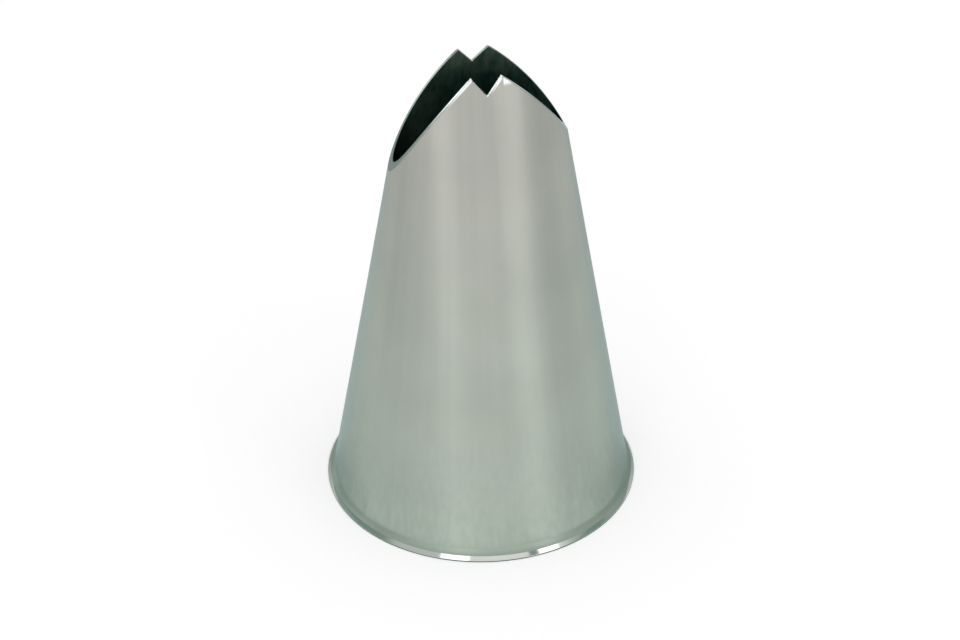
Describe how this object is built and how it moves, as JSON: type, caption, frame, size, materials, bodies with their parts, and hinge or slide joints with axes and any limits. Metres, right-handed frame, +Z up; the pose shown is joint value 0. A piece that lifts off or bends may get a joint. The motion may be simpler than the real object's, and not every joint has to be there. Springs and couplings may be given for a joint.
{
  "type": "piping nozzle",
  "caption": "Large leaf piping nozzle: a tapered steel cone pressed flat to a notched, pointed slit mouth, with a bright ring at its round foot.",
  "frame": {"origin": "centre of the round foot, on the flat face the nozzle stands on", "axes": "+Z up the nozzle from the foot to the mouth; X along the slit of the mouth; Y across the slit, from lip to lip"},
  "size_m": [0.034, 0.034, 0.0525],
  "materials": {
    "satin_steel": "satin stainless sheet, dull and even, faintly drawn along the cone",
    "bright_steel": "turned and polished stainless ring",
    "solder": "dressed smooth, satin"
  },
  "bodies": {
    "root": {"nozzle_cone": "satin_steel", "foot_ring": "bright_steel", "solder_bead": "solder"}
  },
  "joints": []
}
